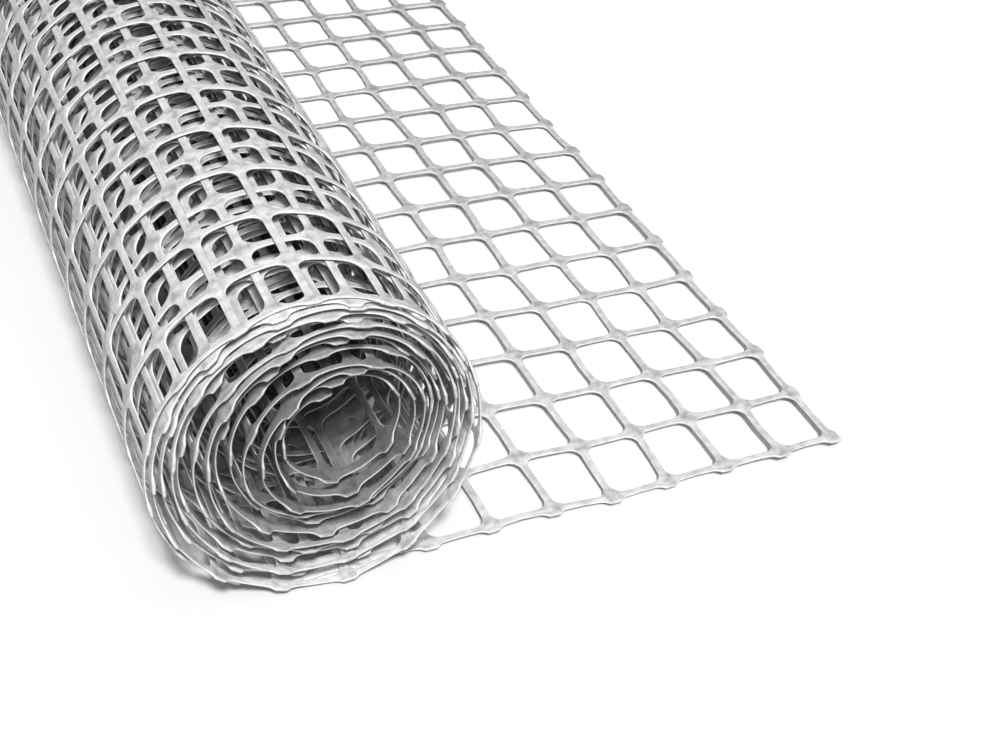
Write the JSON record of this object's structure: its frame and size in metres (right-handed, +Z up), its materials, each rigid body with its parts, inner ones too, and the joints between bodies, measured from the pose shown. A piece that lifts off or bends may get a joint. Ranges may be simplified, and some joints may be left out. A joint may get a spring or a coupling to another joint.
{
  "type": "roll of polypropylene reinforcing mesh",
  "caption": "Loosely wound roll of stiff plastic reinforcing mesh with rectangular cells, lying on its side with its free end rolled out flat.",
  "frame": {"origin": "on the floor, under the middle of the whole, roll and flat stretch together", "axes": "+Z up, +X along the flat stretch towards the free end of the strip, Y along the roll and across the strip"},
  "size_m": [0.3678, 1.0002, 0.156],
  "materials": {
    "mesh": "light grey polypropylene, satin, as stretched"
  },
  "bodies": {
    "root": {"mesh_roll": "mesh"}
  },
  "joints": []
}
